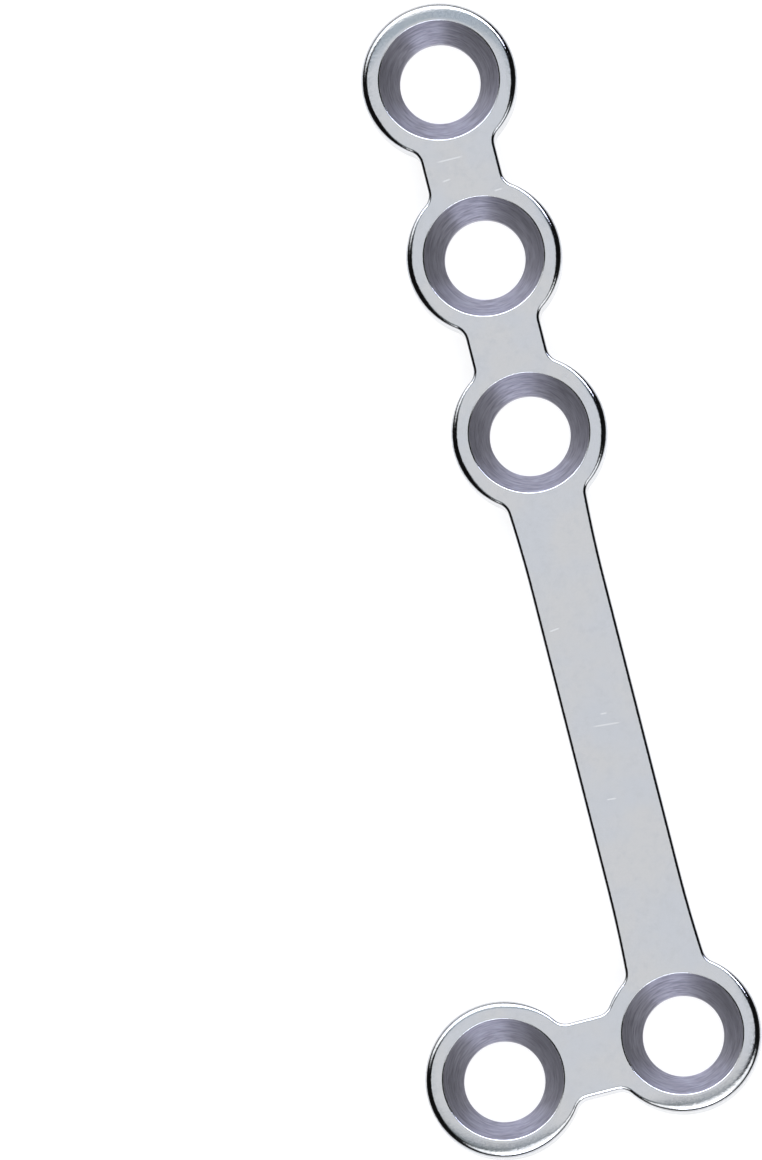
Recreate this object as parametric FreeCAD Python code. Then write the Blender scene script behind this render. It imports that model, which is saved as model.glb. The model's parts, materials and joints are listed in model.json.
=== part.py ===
import FreeCAD, Part

import math
import os

# All sizes are in millimetres and angles in degrees

# Screw hole pitches, along the shaft and across to the foot
SHAFT_PITCH = 6.0
BAR_SPAN = 20.3
FOOT_PITCH = 6.0

# Outline seen from above
EYELET_DIAMETER = 5.1
NECK_WIDTH = 2.5
BAR_WIDTH = 2.46
BAR_FLARE_RADIUS = 45.0
BAR_FLARE_REACH = 5.2
BLEND_RADIUS = 0.52

# Thickness, the rounding of the upper edges and the break of the lower ones
THICKNESS = 1.3
EYELET_EDGE_RADIUS = 0.25
NECK_EDGE_RADIUS = 0.12
UNDERSIDE_BREAK = 0.1

# Countersunk screw holes
BORE_DIAMETER = 2.65
RIM_DIAMETER = 3.95
COUNTERSINK_ANGLE = 70.0

# A cutter stands this far out of the face that it cuts
CUTTER_OVERRUN = 0.5

# Two points nearer than this are the same point
SAME_POINT = 1e-4

EYELET_RADIUS = EYELET_DIAMETER / 2
SHAFT_LENGTH = 2 * SHAFT_PITCH + BAR_SPAN
UP = FreeCAD.Vector(0, 0, 1)


def hole_places():
    """Hole axes from the shaft's free end down to the corner, then out to the foot.

    The origin lies midway along and across the plate, on its underside.
    """
    corner_x = FOOT_PITCH / 2
    corner_y = -SHAFT_LENGTH / 2
    shaft = [SHAFT_LENGTH, SHAFT_LENGTH - SHAFT_PITCH, BAR_SPAN, 0]
    places = [FreeCAD.Vector(corner_x, corner_y + along, 0) for along in shaft]
    places.append(FreeCAD.Vector(corner_x - FOOT_PITCH, corner_y, 0))
    return places


def angle_of(vector):
    return math.atan2(vector.y, vector.x)


def arc(centre, start, end, turn):
    """Arc from start to end about a centre, anticlockwise for turn 1 and clockwise for turn -1."""
    spoke = start - centre
    sweep = turn * (angle_of(end - centre) - angle_of(spoke)) % (2 * math.pi)
    half = FreeCAD.Rotation(UP, math.degrees(turn * sweep / 2))
    return Part.Arc(start, centre + half.multVec(spoke), end).toShape()


def neck_blend():
    """Blend centre and where it meets the side of a straight neck, from the hole axis as (along, out)."""
    out = NECK_WIDTH / 2 + BLEND_RADIUS
    along = math.sqrt((EYELET_RADIUS + BLEND_RADIUS) ** 2 - out ** 2)
    return (along, out), (along, NECK_WIDTH / 2)


def flare_centre():
    return BAR_FLARE_REACH, BAR_WIDTH / 2 + BAR_FLARE_RADIUS


def bar_blend():
    """Blend centre and where it meets the flared end of the bar, from the hole axis as (along, out).

    The centre is one blend radius outside the eyelet's circle and inside the flare's.
    """
    flare_along, flare_out = flare_centre()
    apart = math.hypot(flare_along, flare_out)
    to_eyelet = EYELET_RADIUS + BLEND_RADIUS
    to_flare = BAR_FLARE_RADIUS - BLEND_RADIUS
    cosine = (to_eyelet ** 2 + apart ** 2 - to_flare ** 2) / (2 * to_eyelet * apart)
    angle = math.atan2(flare_out, flare_along) - math.acos(cosine)
    along = to_eyelet * math.cos(angle)
    out = to_eyelet * math.sin(angle)
    stretch = BAR_FLARE_RADIUS / to_flare
    meeting_along = flare_along + (along - flare_along) * stretch
    meeting_out = flare_out + (out - flare_out) * stretch
    return (along, out), (meeting_along, meeting_out)


class Link:
    """The stretch between two neighbouring holes, walked from start to end with its side on the right."""

    def __init__(self, start, end, is_bar):
        self.start = start
        self.end = end
        self.is_bar = is_bar
        self.along = (end - start).normalize()
        self.right = self.along.cross(UP)
        self.blend, self.meeting = bar_blend() if is_bar else neck_blend()
        on_eyelet = [part * EYELET_RADIUS / (EYELET_RADIUS + BLEND_RADIUS) for part in self.blend]
        self.first = self.near_start(on_eyelet)
        self.last = self.near_end(on_eyelet)

    def near_start(self, place):
        return self.start + self.along * place[0] + self.right * place[1]

    def near_end(self, place):
        return self.end - self.along * place[0] + self.right * place[1]

    def side(self):
        """Edges of this side in walking order, each with its top rounding at its two ends."""
        leaving = self.near_start(self.meeting)
        arriving = self.near_end(self.meeting)
        blend_out = arc(self.near_start(self.blend), self.first, leaving, -1)
        blend_in = arc(self.near_end(self.blend), arriving, self.last, -1)
        middle = self.bar_edges(leaving, arriving) if self.is_bar else [Part.makeLine(leaving, arriving)]
        edges = [(blend_out, EYELET_EDGE_RADIUS, NECK_EDGE_RADIUS)]
        edges += [(edge, NECK_EDGE_RADIUS, NECK_EDGE_RADIUS) for edge in middle]
        edges.append((blend_in, NECK_EDGE_RADIUS, EYELET_EDGE_RADIUS))
        return edges

    def bar_edges(self, leaving, arriving):
        """The flare narrowing to the straight part of the bar, that part, and the flare widening again."""
        flare_end = (BAR_FLARE_REACH, BAR_WIDTH / 2)
        narrowed = self.near_start(flare_end)
        widening = self.near_end(flare_end)
        return [
            arc(self.near_start(flare_centre()), leaving, narrowed, -1),
            Part.makeLine(narrowed, widening),
            arc(self.near_end(flare_centre()), widening, arriving, -1),
        ]


def outline(places):
    """The plate's edges anticlockwise, up one side of the row of holes and back down the other."""
    route = places + places[-2::-1]
    bar = {2, len(route) - 4}
    pairs = zip(route, route[1:])
    links = [Link(start, end, number in bar) for number, (start, end) in enumerate(pairs)]
    edges = []
    for link, following in zip(links, links[1:] + links[:1]):
        edges += link.side()
        eyelet = arc(link.end, link.last, following.first, 1)
        edges.append((eyelet, EYELET_EDGE_RADIUS, EYELET_EDGE_RADIUS))
    return edges


def middle_of(edge):
    return edge.valueAt((edge.FirstParameter + edge.LastParameter) / 2)


def start_of(edge):
    return edge.valueAt(edge.FirstParameter)


def top_radii(edge, edges):
    """Rounding at the two ends of one upper edge, from the outline's edge below it."""
    below = UP * -THICKNESS
    for flat, first, last in edges:
        if middle_of(edge).add(below).distanceToPoint(middle_of(flat)) < SAME_POINT:
            same_way = start_of(edge).add(below).distanceToPoint(start_of(flat)) < SAME_POINT
            return (first, last) if same_way else (last, first)
    raise ValueError("an upper edge isn't in the outline")


def edges_at(solid, height):
    """Numbered edges that lie flat at one height."""
    numbered = enumerate(solid.Edges, 1)
    return [(n, e) for n, e in numbered if all(abs(v.Z - height) < SAME_POINT for v in e.Vertexes)]


def rounded_blank(edges):
    """The plate before drilling, its eyelets rounded more than its necks and bar."""
    wire = Part.Wire([edge for edge, first, last in edges])
    blank = Part.Face(wire).extrude(UP * THICKNESS)
    blank = blank.makeChamfer(UNDERSIDE_BREAK, [edge for number, edge in edges_at(blank, 0)])
    document = FreeCAD.newDocument("blank")
    base = document.addObject("Part::Feature", "Base")
    base.Shape = blank
    rounding = document.addObject("Part::Fillet", "Rounding")
    rounding.Base = base
    upper = edges_at(base.Shape, THICKNESS)
    rounding.Edges = [(number, *top_radii(edge, edges)) for number, edge in upper]
    document.recompute()
    return rounding.Shape


def screw_hole_cutter():
    """A bore with a cone above it, turned about the hole's axis and standing out of both faces."""
    bore = BORE_DIAMETER / 2
    rim = RIM_DIAMETER / 2
    slope = math.tan(math.radians(COUNTERSINK_ANGLE / 2))
    throat_height = THICKNESS - (rim - bore) / slope
    profile = [
        (0, -CUTTER_OVERRUN),
        (bore, -CUTTER_OVERRUN),
        (bore, throat_height),
        (rim + CUTTER_OVERRUN * slope, THICKNESS + CUTTER_OVERRUN),
        (0, THICKNESS + CUTTER_OVERRUN),
    ]
    corners = [FreeCAD.Vector(radius, 0, height) for radius, height in profile]
    face = Part.Face(Part.makePolygon(corners + corners[:1]))
    return face.revolve(FreeCAD.Vector(0, 0, 0), UP, 360)


def bone_plate():
    places = hole_places()
    plate = rounded_blank(outline(places))
    cutter = screw_hole_cutter()
    for place in places:
        plate = plate.cut(cutter.translated(place))
    return plate


os.makedirs("parts", exist_ok=True)
bone_plate().exportStep("parts/bone_plate.step")
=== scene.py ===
import json
import math

import bpy
import numpy as np
from mathutils import Matrix, Vector
from mathutils.geometry import delaunay_2d_cdt


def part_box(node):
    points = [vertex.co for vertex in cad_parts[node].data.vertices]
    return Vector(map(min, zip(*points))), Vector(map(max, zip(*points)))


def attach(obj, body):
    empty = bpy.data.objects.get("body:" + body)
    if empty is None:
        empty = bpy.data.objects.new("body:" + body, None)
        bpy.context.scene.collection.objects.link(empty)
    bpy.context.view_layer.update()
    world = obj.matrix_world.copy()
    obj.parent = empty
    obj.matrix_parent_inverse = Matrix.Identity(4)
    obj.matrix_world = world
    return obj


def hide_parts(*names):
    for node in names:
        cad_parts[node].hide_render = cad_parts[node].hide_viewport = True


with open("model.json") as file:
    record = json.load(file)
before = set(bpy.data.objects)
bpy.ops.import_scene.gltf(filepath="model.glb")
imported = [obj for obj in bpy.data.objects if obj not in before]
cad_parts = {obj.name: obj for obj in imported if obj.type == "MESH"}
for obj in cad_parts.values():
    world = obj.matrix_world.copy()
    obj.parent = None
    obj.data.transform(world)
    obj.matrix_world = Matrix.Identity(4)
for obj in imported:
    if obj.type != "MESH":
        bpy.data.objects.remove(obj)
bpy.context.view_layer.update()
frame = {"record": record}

# All lengths are in metres
MM = 0.001

# Sizes that the frame gives: the five hole axes, the bore, the thickness and the eyelets' radius
bores = [m for m in frame["record"]["mounts"] if m["kind"] == "bore"]
HOLES = [np.array(m["pos_m"][:2]) for m in bores]
BORE_RADIUS = bores[0]["dims"]["r_mm"] * MM
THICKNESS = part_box("bone_plate")[1].z
EYELET_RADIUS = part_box("bone_plate")[1].x - HOLES[0][0]

# The rest of the outline, which the frame doesn't name
NECK_WIDTH = 2.5 * MM
BAR_WIDTH = 2.46 * MM
BAR_FLARE_RADIUS = 45 * MM
BAR_FLARE_REACH = 5.2 * MM
BLEND_RADIUS = 0.52 * MM

# The upper edge is a quarter of an ellipse, wider on the eyelets than on the necks and the bar.
# Its depth is a share of its width, and it widens over this angle from both ends of an eyelet's arc.
EYELET_EDGE = 0.25 * MM
NECK_EDGE = 0.12 * MM
EDGE_DEPTH = 0.62
EDGE_EASE = math.radians(40)
LOWER_EDGE = 0.1 * MM

# Inwards of that edge the polish rolls an eyelet's top over: how far in, the slope at the outer end, and
# the share of it at the inner end. The share of the whole roll is MIDDLE_ROLL on the eyelets within the
# shaft, and elsewhere it grows from SIDE_ROLL at the side by FREE_ROLL to where the eyelet faces freely.
ROLL_REACH = 0.27 * MM
ROLL_SLOPE = math.radians(11)
ROLL_START = 0.3
MIDDLE_ROLL = 0.15
SIDE_ROLL = 0.35
FREE_ROLL = 0.65

# Countersinks
CONE_HALF_ANGLE = math.radians(35)
CONE_MOUTH = 1.975 * MM
THROAT_ROUNDING = 0.03 * MM
BORE_EDGE = 0.06 * MM

# How far the shaft leans from the photograph's upright
ROLL = math.radians(14.161)

# A hole's rim is rounded least this far left of the photograph's top, and fully past the reach of that
RIM_ROUNDING = (0.02 * MM, 0.075 * MM)
SHARP_WAY = math.radians(10)
SHARP_REACH = 0.6

# How finely the forms are divided
OUTLINE_STEP = 0.08 * MM
LINE_STEP = 4 * OUTLINE_STEP
HOLE_STEPS = 180
ROLL_STEPS = 8
EDGE_STEPS = 18
LOWER_STEPS = 6
RIM_STEPS = 8
CONE_STEPS = 8
THROAT_STEPS = 4
BORE_EDGE_STEPS = 5


def angle_of(v):
    return math.atan2(v[1], v[0])


def smooth(share):
    """0 at 0 and 1 at 1, level at both."""
    return share * share * (3 - 2 * share)


def arc(centre, radius, start, end, turn, ease=None):
    """Stations along an arc: rows of x, y, the outward way's x and y, and how wide the edge is.

    The width goes from 0, a neck's, to 1, an eyelet's. With an ease, it grows over that angle from both
    ends of the arc. Turn is 1 anticlockwise and -1 clockwise.
    """
    first = angle_of(start - centre)
    sweep = turn * (angle_of(end - centre) - first) % (2 * math.pi)
    count = max(2, math.ceil(radius * sweep / OUTLINE_STEP))
    rows = []
    for k in range(count):
        angle = first + turn * sweep * k / count
        spoke = np.array([math.cos(angle), math.sin(angle)])
        from_end = sweep * min(k / count, 1 - k / count)
        wide = smooth(min(1, from_end / ease)) if ease else 0
        rows.append([*(centre + spoke * radius), *(spoke * turn), wide])
    return rows


def line(start, end, right):
    """Stations along a straight side, fewer than on an arc."""
    count = math.ceil(np.linalg.norm(end - start) / LINE_STEP)
    return [[*(start + (end - start) * k / count), *right, 0] for k in range(count)]


def neck_blend():
    """Centre of the blend between eyelet and neck, and where it meets the neck, as (along, out)."""
    out = NECK_WIDTH / 2 + BLEND_RADIUS
    along = math.sqrt((EYELET_RADIUS + BLEND_RADIUS) ** 2 - out ** 2)
    return (along, out), (along, NECK_WIDTH / 2)


def bar_blend():
    """Centre of the blend between eyelet and bar, and where it meets the bar's flare, as (along, out)."""
    flare_along, flare_out = BAR_FLARE_REACH, BAR_WIDTH / 2 + BAR_FLARE_RADIUS
    apart = math.hypot(flare_along, flare_out)
    to_eyelet = EYELET_RADIUS + BLEND_RADIUS
    to_flare = BAR_FLARE_RADIUS - BLEND_RADIUS
    cosine = (to_eyelet ** 2 + apart ** 2 - to_flare ** 2) / (2 * to_eyelet * apart)
    angle = math.atan2(flare_out, flare_along) - math.acos(cosine)
    along, out = to_eyelet * math.cos(angle), to_eyelet * math.sin(angle)
    stretch = BAR_FLARE_RADIUS / to_flare
    meeting_along = flare_along + (along - flare_along) * stretch
    meeting_out = flare_out + (out - flare_out) * stretch
    return (along, out), (meeting_along, meeting_out)


def side(start, end, is_bar):
    """One side of the stretch between two holes: its first point, its stations and its last point."""
    ahead = (end - start) / np.linalg.norm(end - start)
    right = np.array([ahead[1], -ahead[0]])
    blend, meeting = bar_blend() if is_bar else neck_blend()
    touch = np.array(blend) * EYELET_RADIUS / (EYELET_RADIUS + BLEND_RADIUS)

    def near_start(place):
        return start + ahead * place[0] + right * place[1]

    def near_end(place):
        return end - ahead * place[0] + right * place[1]

    leaving, arriving = near_start(meeting), near_end(meeting)
    rows = arc(near_start(blend), BLEND_RADIUS, near_start(touch), leaving, -1)
    if is_bar:
        flare = (BAR_FLARE_REACH, BAR_WIDTH / 2 + BAR_FLARE_RADIUS)
        narrow = (BAR_FLARE_REACH, BAR_WIDTH / 2)
        rows += arc(near_start(flare), BAR_FLARE_RADIUS, leaving, near_start(narrow), -1)
        rows += line(near_start(narrow), near_end(narrow), right)
        rows += arc(near_end(flare), BAR_FLARE_RADIUS, near_end(narrow), arriving, -1)
    else:
        rows += line(leaving, arriving, right)
    rows += arc(near_end(blend), BLEND_RADIUS, arriving, near_end(touch), -1)
    return near_start(touch), rows, near_end(touch)


def outline():
    """Stations round the whole plate, anticlockwise."""
    route = HOLES + HOLES[-2::-1]
    bars = {2, len(route) - 4}
    sides = [side(a, b, n in bars) for n, (a, b) in enumerate(zip(route, route[1:]))]
    rows = []
    for n, (first, stations, last) in enumerate(sides):
        rows += stations
        following = sides[(n + 1) % len(sides)][0]
        rows += arc(route[n + 1], EYELET_RADIUS, last, following, 1, EDGE_EASE)
    return np.array(rows)


def free_way(number):
    """The way in which an eyelet has no neighbour, or None for one in the middle of the shaft."""
    if number in (1, 2):
        return None
    # The foot's eyelet rolls over most along the shaft, as the corner's does
    if number == len(HOLES) - 1:
        return np.array([0, -1])
    away = sum(HOLES[number] - HOLES[n] for n in (number - 1, number + 1) if n >= 0)
    return away / np.linalg.norm(away)


def roll_share(x, y, nx, ny):
    """How much of the full roll an eyelet's rim has here, most where it faces away from its neighbours."""
    gaps = [math.hypot(x - hole[0], y - hole[1]) for hole in HOLES]
    way = free_way(gaps.index(min(gaps)))
    if way is None:
        return MIDDLE_ROLL
    facing = nx * way[0] + ny * way[1]
    free = SIDE_ROLL + FREE_ROLL * facing * abs(facing)
    return MIDDLE_ROLL + (1 - MIDDLE_ROLL) * min(1, max(0, free))


def edge_section(width, share):
    """The plate's section at one station, from the top face out and down to the underside.

    Rows of inset from the outline, height, and the normal's outward and upward parts.
    """
    depth = width * EDGE_DEPTH
    slope = ROLL_SLOPE * share
    first = math.atan(math.tan(slope) / EDGE_DEPTH)
    start = width * (1 - math.sin(first))
    rows = []
    height = THICKNESS
    for k in range(ROLL_STEPS + 1):
        part = k / ROLL_STEPS
        tilt = slope * (ROLL_START + (1 - ROLL_START) * part ** 2)
        rows.append([start + ROLL_REACH * (1 - part), height, math.sin(tilt), math.cos(tilt)])
        height -= math.tan(tilt) * ROLL_REACH / ROLL_STEPS
    height = rows.pop()[1]
    for k in range(EDGE_STEPS + 1):
        turn = first + (math.pi / 2 - first) * k / EDGE_STEPS
        out, up = math.sin(turn) * EDGE_DEPTH, math.cos(turn)
        size = math.hypot(out, up)
        drop = depth * (math.cos(first) - math.cos(turn))
        rows.append([width * (1 - math.sin(turn)), height - drop, out / size, up / size])
    for k in range(LOWER_STEPS + 1):
        tilt = math.pi / 2 * (1 + k / LOWER_STEPS)
        out, up = math.sin(tilt), math.cos(tilt)
        rows.append([LOWER_EDGE * (1 - out), LOWER_EDGE * (1 + up), out, up])
    return rows


def rim_rounding(angle):
    """The polish wears a hole's rim all round but towards the photograph's top, where it stays sharp."""
    share = smooth(min(1, (1 - math.sin(angle + ROLL - SHARP_WAY)) / SHARP_REACH))
    return RIM_ROUNDING[0] + (RIM_ROUNDING[1] - RIM_ROUNDING[0]) * share


def rounding(centre, radius, first, sweep, steps):
    """Rows of a hole's section along an arc, from the surface's first tilt through a sweep."""
    rows = []
    for k in range(steps + 1):
        tilt = first + sweep * k / steps
        out, up = -math.sin(tilt), math.cos(tilt)
        rows.append([centre[0] + radius * out, centre[1] + radius * up, out, up])
    return rows


def hole_section(rim):
    """A screw hole's section from its rim, which is rounded by the given radius, down to the underside.

    Rows of radius, height, the normal's outward and upward parts, and the length along the section.
    """
    cone_tilt = math.pi / 2 - CONE_HALF_ANGLE
    tangent = rim * math.tan(cone_tilt / 2)
    rows = rounding((CONE_MOUTH + tangent, THICKNESS - rim), rim, 0, cone_tilt, RIM_STEPS)
    throat_height = THICKNESS - (CONE_MOUTH - BORE_RADIUS) / math.tan(CONE_HALF_ANGLE)
    tangent = THROAT_ROUNDING * math.tan(CONE_HALF_ANGLE / 2)
    top_radius, top_height = rows[-1][:2]
    foot_radius = BORE_RADIUS + tangent * math.sin(CONE_HALF_ANGLE)
    foot_height = throat_height + tangent * math.cos(CONE_HALF_ANGLE)
    for k in range(1, CONE_STEPS):
        share = k / CONE_STEPS
        radius = top_radius + (foot_radius - top_radius) * share
        height = top_height + (foot_height - top_height) * share
        rows.append([radius, height, -math.sin(cone_tilt), math.cos(cone_tilt)])
    centre = (BORE_RADIUS + THROAT_ROUNDING, throat_height - tangent)
    rows += rounding(centre, THROAT_ROUNDING, cone_tilt, CONE_HALF_ANGLE, THROAT_STEPS)
    centre = (BORE_RADIUS + BORE_EDGE, BORE_EDGE)
    rows += rounding(centre, BORE_EDGE, math.pi / 2, math.pi / 2, BORE_EDGE_STEPS)
    lengths = [0]
    for a, b in zip(rows, rows[1:]):
        lengths.append(lengths[-1] + math.hypot(b[0] - a[0], b[1] - a[1]))
    return [row + [length] for row, length in zip(rows, lengths)]


# The two material slots of the plate
POLISHED, TURNED = 0, 1


class Mesh:
    """Points, normals and faces, gathered before they are given to Blender."""

    def __init__(self):
        self.points = []
        self.normals = []
        self.faces = []
        self.materials = []
        self.uvs = []

    def add(self, points, normals):
        first = len(self.points)
        self.points += [tuple(p) for p in points]
        self.normals += [tuple(n) for n in normals]
        return list(range(first, len(self.points)))

    def face(self, corners, material, uvs):
        self.faces.append(corners)
        self.materials.append(material)
        self.uvs += uvs

    def polished_face(self, corners):
        """A face of the polished slot, mapped by its place in millimetres seen from above."""
        self.face(corners, POLISHED, [(self.points[n][0] / MM, self.points[n][1] / MM) for n in corners])


# In the map of the turned faces the holes lie this far apart, so that each has marks of its own
HOLE_SHIFT = 10


def build_plate():
    """The plate as sections round its outline and round its holes, closed by two flat faces."""
    mesh = Mesh()
    stations = outline()
    count = len(stations)
    sections = []
    for x, y, nx, ny, wide in stations:
        width = NECK_EDGE + (EYELET_EDGE - NECK_EDGE) * wide
        sections.append(edge_section(width, wide * roll_share(x, y, nx, ny)))
    rings = []
    for level in range(len(sections[0])):
        points, normals = [], []
        for (x, y, nx, ny, wide), section in zip(stations, sections):
            inset, height, out, up = section[level]
            points.append((x - nx * inset, y - ny * inset, height))
            normals.append((nx * out, ny * out, up))
        rings.append(mesh.add(points, normals))
    for upper, lower in zip(rings, rings[1:]):
        for k in range(count):
            following = (k + 1) % count
            mesh.polished_face([upper[k], lower[k], lower[following], upper[following]])
    top_loops, under_loops = [rings[0]], [rings[-1]]
    spokes = [2 * math.pi * k / HOLE_STEPS for k in range(HOLE_STEPS)]
    around = [hole_section(rim_rounding(a)) for a in spokes]
    # One section's lengths serve the map all round, so that its rings stay level
    section = around[0]
    for number, hole in enumerate(HOLES):
        rings = []
        for level in range(len(section)):
            points, normals = [], []
            at_level = [rows[level] for rows in around]
            for a, (radius, height, out, up, length) in zip(spokes, at_level):
                points.append((hole[0] + radius * math.cos(a), hole[1] + radius * math.sin(a), height))
                normals.append((out * math.cos(a), out * math.sin(a), up))
            rings.append(mesh.add(points, normals))
        for level, (upper, lower) in enumerate(zip(rings, rings[1:])):
            material = POLISHED if level < RIM_STEPS - 1 else TURNED
            near, far = [row[-1] / MM + number * HOLE_SHIFT for row in section[level:level + 2]]
            for k in range(HOLE_STEPS):
                following = (k + 1) % HOLE_STEPS
                corners = [upper[k], upper[following], lower[following], lower[k]]
                first, last = k / HOLE_STEPS, (k + 1) / HOLE_STEPS
                mesh.face(corners, material, [(near, first), (near, last), (far, last), (far, first)])
        top_loops.append(rings[0])
        under_loops.append(rings[-1])
    for loops, upward in ((top_loops, True), (under_loops, False)):
        fill(mesh, loops, upward)
    return mesh


# Points of a flat face nearer than this, in millimetres, are the same
SAME_POINT = 1e-7


def fill(mesh, loops, upward):
    """Closes a flat face between its outer loop and the loops of its holes."""
    numbers = [n for loop in loops for n in loop]
    flat = [Vector(mesh.points[n][:2]) / MM for n in numbers]
    edges, first = [], 0
    for loop in loops:
        edges += [(first + k, first + (k + 1) % len(loop)) for k in range(len(loop))]
        first += len(loop)
    # Option 1 keeps the triangles inside the outer loop, those in the holes too, which are left out below
    found = delaunay_2d_cdt(flat, edges, [], 1, SAME_POINT)
    triangles, originals = found[2], found[3]
    holes = [set(loop) for loop in loops[1:]]
    for corners in triangles:
        corners = [numbers[originals[c][0]] for c in corners]
        if any(hole.issuperset(corners) for hole in holes):
            continue
        a, b, c = [Vector(mesh.points[n][:2]) for n in corners]
        if ((b - a).cross(c - a) > 0) != upward:
            corners = corners[::-1]
        mesh.polished_face(corners)


def make_plate():
    built = build_plate()
    data = bpy.data.meshes.new("plate")
    data.from_pydata(built.points, [], built.faces)
    layer = data.uv_layers.new(name="turning")
    layer.uv.foreach_set("vector", np.array(built.uvs, np.float32).ravel())
    data.polygons.foreach_set("material_index", built.materials)
    data.polygons.foreach_set("use_smooth", [True] * len(built.faces))
    data.normals_split_custom_set_from_vertices(built.normals)
    data.update()
    plate = bpy.data.objects.new("plate", data)
    bpy.context.scene.collection.objects.link(plate)
    return plate


class Tree:
    """Short words for building a node tree."""

    def __init__(self, owner):
        owner.use_nodes = True
        self.nodes = owner.node_tree.nodes
        self.links = owner.node_tree.links

    def give(self, socket, value):
        """Links another node's output to a socket, or sets the constant on the socket itself."""
        if isinstance(value, bpy.types.NodeSocket):
            self.links.new(value, socket)
        else:
            socket.default_value = value

    def add(self, kind, inputs=(), **settings):
        node = self.nodes.new("ShaderNode" + kind)
        for name, value in settings.items():
            setattr(node, name, value)
        for name, value in dict(inputs).items():
            self.give(node.inputs[name], value)
        return node

    def maths(self, operation, *values):
        return self.add("Math", dict(enumerate(values)), operation=operation).outputs[0]

    def fade(self, value, first, last, low=0.0, high=1.0):
        """Low up to the first value and high from the last on, smoothly between them."""
        inputs = {"Value": value, "From Min": first, "From Max": last, "To Min": low, "To Max": high}
        return self.add("MapRange", inputs, interpolation_type="SMOOTHSTEP").outputs["Result"]

    def dot(self, vector, axis):
        node = self.add("VectorMath", {0: vector, 1: axis}, operation="DOT_PRODUCT")
        return node.outputs["Value"]

    def share(self, value, part):
        """A part of a value."""
        return self.maths("MULTIPLY", value, part)

    def mix(self, factor, first, second):
        node = self.add("Mix", {0: factor, 6: first, 7: second}, data_type="RGBA")
        return node.outputs[2]

    def noise(self, place, scale, detail=2.0, roughness=0.5):
        inputs = {"Vector": place, "Scale": scale, "Detail": detail, "Roughness": roughness}
        return self.add("TexNoise", inputs).outputs["Fac"]


def metal(name):
    """A new material with its tree and its shader, as bare metal."""
    material = bpy.data.materials.new(name)
    tree = Tree(material)
    shader = tree.nodes["Principled BSDF"]
    shader.inputs["Metallic"].default_value = 1
    return material, tree, shader


def real_place(tree):
    """The place on the plate, in millimetres."""
    place = tree.add("TexCoord").outputs["Object"]
    return tree.add("VectorMath", {0: place, "Scale": 1 / MM}, operation="SCALE").outputs["Vector"]


# Fine scratches across the shaft and the bar, as their ends in millimetres from the plate's middle
SCRATCHES = [
    ((2.20, 13.52), (3.18, 13.51)),
    ((2.27, 12.85), (2.58, 12.88)),
    ((3.84, 12.14), (4.15, 12.16)),
    ((2.02, -2.36), (2.40, -2.32)),
    ((2.58, -5.72), (3.60, -5.81)),
    ((2.97, -5.38), (3.20, -5.40)),
    ((2.47, -8.15), (2.83, -8.18)),
]

# Half a scratch's width, in millimetres, and the shares of its length and its width where it is fullest
SCRATCH_HALF_WIDTH = 0.035
SCRATCH_CORE = (0.5, 0.3)

# How uneven the skin is where the edges roll over, and on the flat faces
SKIN_DEPTH = (0.0032 * MM, 0.0007 * MM)

# The steel's colours: over broad clouds, in dull patches, as a mottled painted shade where the rims roll
# over, and as a painted highlight in scratches
COOL_STEEL = (0.645, 0.662, 0.69, 1)
WARM_STEEL = (0.672, 0.672, 0.672, 1)
DULL_STEEL = (0.62, 0.632, 0.65, 1)
# Painted shade: the darker colour where the rims begin to roll over
ROLL_SHADE_STEEL = (0.53, 0.55, 0.57, 1)
# Painted highlight: the lighter colour of the scratches, which stands for the light they catch, and of the
# specks
SCRATCH_GLINT_STEEL = (0.84, 0.85, 0.86, 1)

# How much the last three colours show, and how much a speck counts beside a scratch
DULL_SHARE = 0.5
ROLL_SHADE_SHARE = 0.5
SCRATCH_GLINT_SHARE = 0.8
SPECK_SHARE = 0.7

# How rough the polish is, from patch to patch
POLISH_ROUGHNESS = (0.05, 0.11)

# The values between which each pattern of noise fades in
CLOUD_RANGE = (0.35, 0.65)
DULL_RANGE = (0.45, 0.75)
ROUGH_RANGE = (0.3, 0.7)
ROLL_SHADE_RANGE = (0.4, 0.6)
SPECK_RANGE = (0.76, 0.82)

# How much of the light the broad faces scatter as haze, and how widely
HAZE = 0.2
HAZE_ROUGHNESS = 0.5

# A surface's tilt is told by the upright part of its normal, which is 1 on the flat faces. Between these
# values of it the mottled painted shade and the deeper skin come in and the haze goes out.
ROLL_SHADE_TILT = (0.9999, 0.998)
SKIN_TILT = (0.995, 0.9998)
HAZE_TILT = (0.985, 0.998)


def scratch(tree, place, ends):
    """1 on a line between two points, fading to 0 at its sides and its ends."""
    first, last = [Vector((*end, 0)) for end in ends]
    ahead = (last - first).normalized()
    aside = Vector((-ahead.y, ahead.x, 0))
    from_first = tree.add("VectorMath", {0: place, 1: first}, operation="SUBTRACT").outputs["Vector"]
    along = tree.dot(from_first, ahead)
    beside = tree.dot(from_first, aside)
    half = (last - first).length / 2
    off_middle = tree.maths("ABSOLUTE", tree.maths("SUBTRACT", along, half))
    in_length = tree.fade(off_middle, half, half * SCRATCH_CORE[0])
    fullest = SCRATCH_HALF_WIDTH * SCRATCH_CORE[1]
    in_width = tree.fade(tree.maths("ABSOLUTE", beside), SCRATCH_HALF_WIDTH, fullest)
    return tree.maths("MULTIPLY", in_length, in_width)


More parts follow.
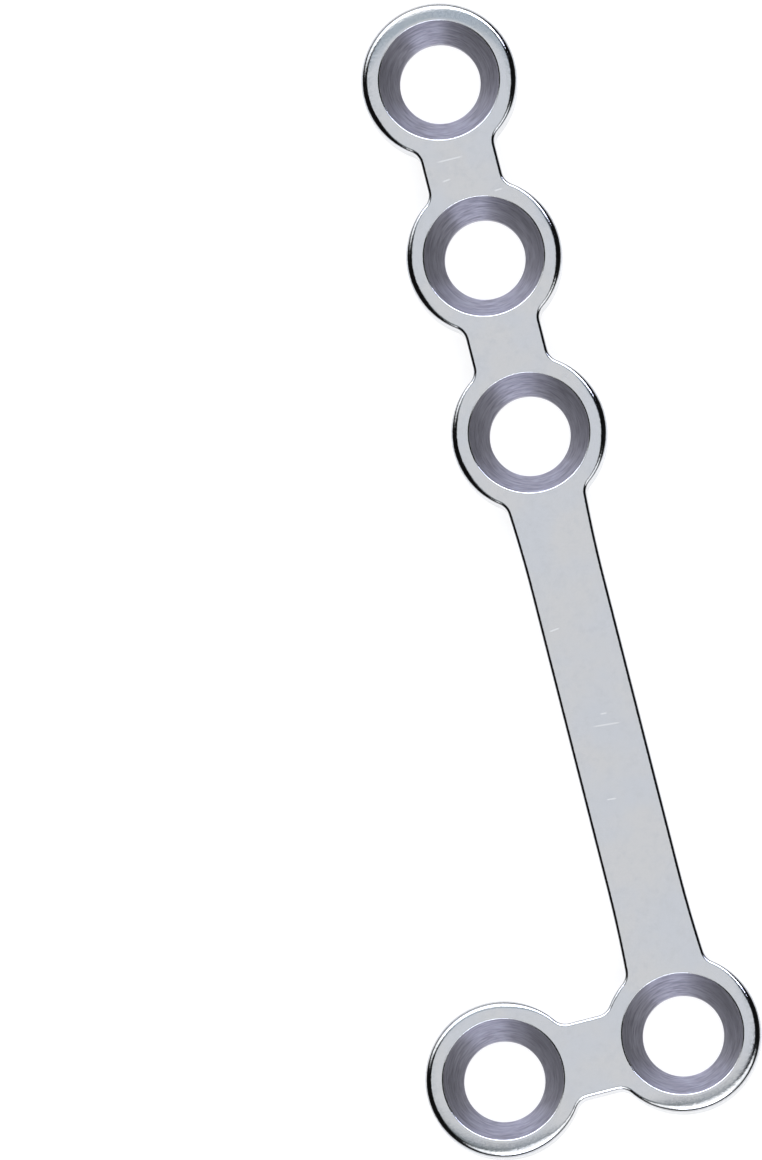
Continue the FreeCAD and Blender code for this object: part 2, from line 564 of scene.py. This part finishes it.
def polished_steel():
    """Mirror polish with a faint cloudiness, an uneven skin, a mottled painted shade where the rims roll
    over, and a few hairline scratches lightened by a painted highlight.
    """
    material, tree, shader = metal("polished_steel")
    place = real_place(tree)
    clouds = tree.noise(place, scale=0.55, detail=3)
    patches = tree.noise(place, scale=3.5, detail=4, roughness=0.6)
    skin = tree.noise(place, scale=11, detail=3, roughness=0.6)
    dust = tree.noise(place, scale=9, detail=2, roughness=0.7)
    glints_and_specks = scratch(tree, place, SCRATCHES[0])
    for ends in SCRATCHES[1:]:
        glints_and_specks = tree.maths("MAXIMUM", glints_and_specks, scratch(tree, place, ends))
    specks = tree.share(tree.fade(dust, *SPECK_RANGE), SPECK_SHARE)
    glints_and_specks = tree.maths("MAXIMUM", glints_and_specks, specks)
    colour = tree.mix(tree.fade(clouds, *CLOUD_RANGE), COOL_STEEL, WARM_STEEL)
    colour = tree.mix(tree.share(tree.fade(patches, *DULL_RANGE), DULL_SHARE), colour, DULL_STEEL)
    # Scratches get a lighter colour as a painted highlight of the light they catch; the specks are lightened
    # too
    colour = tree.mix(tree.share(glints_and_specks, SCRATCH_GLINT_SHARE), colour, SCRATCH_GLINT_STEEL)
    level = tree.add("SeparateXYZ", {0: tree.add("NewGeometry").outputs["Normal"]}).outputs["Z"]
    level = tree.maths("ABSOLUTE", level)
    # Where the eyelets' rims begin to roll over, a painted shade darkens the colour, mottled by the skin's
    # noise
    painted_roll_shade = tree.share(tree.fade(level, *ROLL_SHADE_TILT), tree.fade(skin, *ROLL_SHADE_RANGE))
    colour = tree.mix(tree.share(painted_roll_shade, ROLL_SHADE_SHARE), colour, ROLL_SHADE_STEEL)
    tree.give(shader.inputs["Base Color"], colour)
    tree.give(shader.inputs["Roughness"], tree.fade(patches, *ROUGH_RANGE, *POLISH_ROUGHNESS))
    unevenness = tree.fade(level, *SKIN_TILT, *SKIN_DEPTH)
    bump = tree.add("Bump", {"Height": skin, "Distance": unevenness, "Strength": 1.0})
    tree.give(shader.inputs["Normal"], bump.outputs["Normal"])
    # The broad faces keep a slight haze, which the edges have lost
    haze = tree.fade(level, *HAZE_TILT, 0, HAZE)
    hazy = tree.add("BsdfAnisotropic", {"Color": colour, "Roughness": HAZE_ROUGHNESS}, distribution="GGX")
    both = tree.add("MixShader", {0: haze, 1: shader.outputs[0], 2: hazy.outputs[0]})
    tree.give(tree.nodes["Material Output"].inputs["Surface"], both.outputs[0])
    return material


# The turned faces' two colours, the noise values between which the rings change from one to the other,
# how much the broad rings lighten them, and their finish
TURNED_DARK = (0.215, 0.21, 0.245, 1)
TURNED_LIGHT = (0.41, 0.405, 0.465, 1)
FINE_RANGE = (0.25, 0.75)
BROAD_RANGE = (0.3, 0.7)
BROAD_SHARE = 0.3
TURNED_ROUGHNESS = (0.28, 0.36)
RING_DEPTH = 0.003 * MM


def turned_steel():
    """Satin steel with the fine rings that a countersink's cutter leaves round each hole."""
    material, tree, shader = metal("turned_steel")
    flat = tree.add("SeparateXYZ", {0: tree.add("UVMap", uv_map="turning").outputs["UV"]})
    down = flat.outputs["X"]
    turn = tree.maths("MULTIPLY", flat.outputs["Y"], 2 * math.pi)
    across = tree.maths("COSINE", turn)
    ahead = tree.maths("SINE", turn)

    def rings(per_mm, round_scale):
        """Noise drawn out round the hole, without a seam."""
        inputs = {
            "X": tree.maths("MULTIPLY", down, per_mm),
            "Y": tree.maths("MULTIPLY", across, round_scale),
            "Z": tree.maths("MULTIPLY", ahead, round_scale),
        }
        along_rings = tree.add("CombineXYZ", inputs).outputs["Vector"]
        return tree.noise(along_rings, scale=1, detail=3, roughness=0.6)

    fine = rings(per_mm=16, round_scale=3.0)
    broad = rings(per_mm=8, round_scale=1.5)
    colour = tree.mix(tree.fade(fine, *FINE_RANGE), TURNED_DARK, TURNED_LIGHT)
    colour = tree.mix(tree.share(tree.fade(broad, *BROAD_RANGE), BROAD_SHARE), colour, TURNED_LIGHT)
    tree.give(shader.inputs["Base Color"], colour)
    tree.give(shader.inputs["Roughness"], tree.fade(broad, *BROAD_RANGE, *TURNED_ROUGHNESS))
    shader.inputs["Anisotropic"].default_value = 1
    tangent = tree.add("Tangent", direction_type="UV_MAP", uv_map="turning")
    tree.give(shader.inputs["Tangent"], tangent.outputs["Tangent"])
    bump = tree.add("Bump", {"Height": fine, "Distance": RING_DEPTH, "Strength": 1.0})
    tree.give(shader.inputs["Normal"], bump.outputs["Normal"])
    return material


# The camera stands this far off the upright, towards the photograph's bottom and turned from there to its
# right by the second angle
TILT = math.radians(7)
TILT_TOWARDS = math.radians(23)
DISTANCE = 500 * MM
AIM = Vector((-2.865, 0.660, 1.3)) * MM
PHOTO_HEIGHT = 1160
PIXELS_PER_MM = 30.680
SENSOR = 36

PHOTO_UP = Vector((math.sin(ROLL), math.cos(ROLL), 0))
PHOTO_RIGHT = Vector((math.cos(ROLL), -math.sin(ROLL), 0))
LEAN = PHOTO_RIGHT * math.sin(TILT_TOWARDS) - PHOTO_UP * math.cos(TILT_TOWARDS)
TO_CAMERA = Vector((0, 0, 1)) * math.cos(TILT) + LEAN * math.sin(TILT)


def make_camera():
    """The camera of the photograph, with its framing."""
    right = PHOTO_UP.cross(TO_CAMERA).normalized()
    up = TO_CAMERA.cross(right)
    data = bpy.data.cameras.new("camera")
    data.sensor_width = SENSOR
    data.lens = SENSOR * PIXELS_PER_MM * DISTANCE / MM / PHOTO_HEIGHT
    data.clip_start = DISTANCE / 10
    data.clip_end = DISTANCE * 100
    camera = bpy.data.objects.new("camera", data)
    bpy.context.scene.collection.objects.link(camera)
    turn = Matrix((right, up, TO_CAMERA)).transposed().to_4x4()
    camera.matrix_world = Matrix.Translation(AIM + TO_CAMERA * DISTANCE) @ turn
    bpy.context.scene.camera = camera


# Half the floor's width. Then the floor as it is seen, directly or in the metal: its glow and its paint's
# grey, which together are white and keep the shadow. Its other light is that of plain pale paint.
FLOOR_REACH = 2.0
FLOOR_GLOW = 0.86
FLOOR_SEEN = 0.2
FLOOR_UNSEEN = 0.8


def grey(value):
    return (value, value, value, 1)


def make_floor():
    """A plain white floor that keeps the plate's shadow."""
    data = bpy.data.meshes.new("floor")
    reach = FLOOR_REACH
    corners = [(-reach, -reach, 0), (reach, -reach, 0), (reach, reach, 0), (-reach, reach, 0)]
    data.from_pydata(corners, [], [(0, 1, 2, 3)])
    floor = bpy.data.objects.new("floor", data)
    bpy.context.scene.collection.objects.link(floor)
    material = bpy.data.materials.new("floor")
    tree = Tree(material)
    tree.nodes.clear()
    path = tree.add("LightPath").outputs
    seen = tree.maths("MAXIMUM", path["Is Camera Ray"], path["Is Glossy Ray"])
    seen = tree.maths("MAXIMUM", seen, path["Is Transmission Ray"])
    paint = tree.add("BsdfDiffuse", {"Color": grey(FLOOR_SEEN)}).outputs[0]
    glow = tree.add("Emission", {"Strength": FLOOR_GLOW}).outputs[0]
    bright = tree.add("AddShader", {0: paint, 1: glow}).outputs[0]
    plain = tree.add("BsdfDiffuse", {"Color": grey(FLOOR_UNSEEN)}).outputs[0]
    tree.add("OutputMaterial", {0: tree.add("MixShader", {0: seen, 1: plain, 2: bright}).outputs[0]})
    data.materials.append(material)


# The studio is laid out in degrees from overhead, where the flat face sends the camera's look, and in
# degrees clockwise from the photograph's top. A bright panel hangs overhead: its light, its half sizes
# towards the photograph's sides and along its height, and its soft border.
PANEL_LIGHT = (0.85, 0.86, 0.865, 1)
PANEL_REACH = (13, 14)
PANEL_FADE = 0.22

# Towards the photograph's top and bottom the panel fades into a soft halo, which goes on to the tents:
# the angles between which it fades, and its light. The halo itself fades out between two slants, which
# are sideways to lengthways, and between two angles from overhead.
HALO_TOP = (2.4, 6.5, (0.445, 0.515, 0.55, 1))
HALO_BOTTOM = (2.4, 16, (0.22, 0.245, 0.255, 1))
HALO_SLANTS = (1.4, 0.6)
HALO_END = (28, 22)

# Two soft tents light the plate from the photograph's top and bottom: the way to a tent's middle, its
# half width, how far from overhead it lies, its half depth and its soft border. Between these angles
# from overhead they grow dimmer.
TENTS = [(-19, 48, 43, 22, 0.34), (157, 44, 43, 22, 0.28)]
TENT_LIGHT = (1.45, 1.47, 1.5, 1)
TENT_LOW_LIGHT = (0.85, 0.86, 0.89, 1)
TENT_DIMS = (48, 56)

# A lamp burns in each tent: the same four values, the power that squares its corners, and its light
LAMPS = [(0, 55, 36, 9, 2, (6.0, 6.3, 8.0, 1)), (162, 22, 44, 12, 8, (6.2, 6.4, 7.4, 1))]
LAMP_FADE = 0.06

# Elsewhere the studio is dark. Low down a faint grey band comes in and goes out again between two pairs
# of angles from overhead.
DARK = 0.006
LOW_GREY = 0.03
LOW_START = (58, 68)
LOW_END = (86, 78)

# Just above the horizon the sky is white like the floor, which it ceases to be between these heights of a
# look whose length is 1
HORIZON = (0.06, 0.1)

# Keeps a division from dividing by nothing
NOT_ZERO = 0.01


def make_world():
    """The studio round the plate, painted on the sky."""
    world = bpy.data.worlds.new("studio")
    bpy.context.scene.world = world
    tree = Tree(world)
    tree.nodes.clear()
    middle = (2 * TO_CAMERA.z * Vector((0, 0, 1)) - TO_CAMERA).normalized()
    right = PHOTO_UP.cross(middle).normalized()
    up = middle.cross(right)
    place = tree.add("TexCoord").outputs["Generated"]
    to_right, to_top, to_middle = [tree.dot(place, axis) for axis in (right, up, middle)]
    way = tree.maths("DEGREES", tree.maths("ARCTAN2", to_right, to_top))
    away = tree.maths("DEGREES", tree.maths("ARCCOSINE", to_middle))

    def from_middle(centre, half_width, middle_away, half_depth, power=2):
        """Distance from a patch's middle, with 1 at its border: an ellipse, or squarer at a higher power."""
        side = tree.maths("WRAP", tree.maths("SUBTRACT", way, centre), 180, -180)
        wide = tree.maths("DIVIDE", side, half_width)
        deep = tree.maths("DIVIDE", tree.maths("SUBTRACT", away, middle_away), half_depth)
        powers = [tree.maths("POWER", tree.maths("ABSOLUTE", value), power) for value in (wide, deep)]
        return tree.maths("POWER", tree.maths("ADD", *powers), 1 / power)

    low = tree.fade(away, *LOW_START, DARK, LOW_GREY)
    low = tree.maths("MINIMUM", low, tree.fade(away, *LOW_END, DARK, LOW_GREY))
    sky = tree.mix(low, grey(0), grey(1))
    # How far a place lies from overhead towards the photograph's sides, and along its height
    sideways = tree.maths("DEGREES", tree.maths("ABSOLUTE", to_right))
    upwards = tree.maths("DEGREES", to_top)
    lengthways = tree.maths("ABSOLUTE", upwards)
    halo_light = tree.mix(tree.maths("GREATER_THAN", upwards, 0), HALO_BOTTOM[2], HALO_TOP[2])
    slant = tree.maths("DIVIDE", sideways, tree.maths("ADD", lengthways, NOT_ZERO))
    on_halo = tree.maths("MULTIPLY", tree.fade(slant, *HALO_SLANTS), tree.fade(away, *HALO_END))
    sky = tree.mix(on_halo, sky, halo_light)
    tent_light = tree.mix(tree.fade(away, *TENT_DIMS), TENT_LIGHT, TENT_LOW_LIGHT)
    for *place_and_size, border in TENTS:
        sky = tree.mix(tree.fade(from_middle(*place_and_size), 1 + border, 1), sky, tent_light)
    for *place_and_size, light in LAMPS:
        sky = tree.mix(tree.fade(from_middle(*place_and_size), 1 + LAMP_FADE, 1), sky, light)
    across = tree.maths("DIVIDE", sideways, PANEL_REACH[0])
    along = tree.maths("DIVIDE", lengthways, PANEL_REACH[1])
    squares = [tree.maths("MULTIPLY", value, value) for value in (across, along)]
    off_panel = tree.maths("SQRT", tree.maths("ADD", *squares))
    overhead = tree.maths("GREATER_THAN", to_middle, 0)
    on_panel = tree.maths("MULTIPLY", tree.fade(off_panel, 1 + PANEL_FADE, 1), overhead)
    panel = tree.mix(tree.fade(upwards, HALO_TOP[0], HALO_TOP[1]), PANEL_LIGHT, HALO_TOP[2])
    panel = tree.mix(tree.fade(upwards, -HALO_BOTTOM[0], -HALO_BOTTOM[1]), panel, HALO_BOTTOM[2])
    sky = tree.mix(on_panel, sky, panel)
    height = tree.add("SeparateXYZ", {0: place}).outputs["Z"]
    sky = tree.mix(tree.fade(height, *HORIZON), grey(1), sky)
    tree.add("OutputWorld", {0: tree.add("Background", {"Color": sky}).outputs[0]})


bpy.context.scene.view_settings.view_transform = "Standard"
make_camera()
make_floor()
make_world()
plate = make_plate()
plate.data.materials.append(polished_steel())
plate.data.materials.append(turned_steel())
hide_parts("bone_plate")
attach(plate, "root")
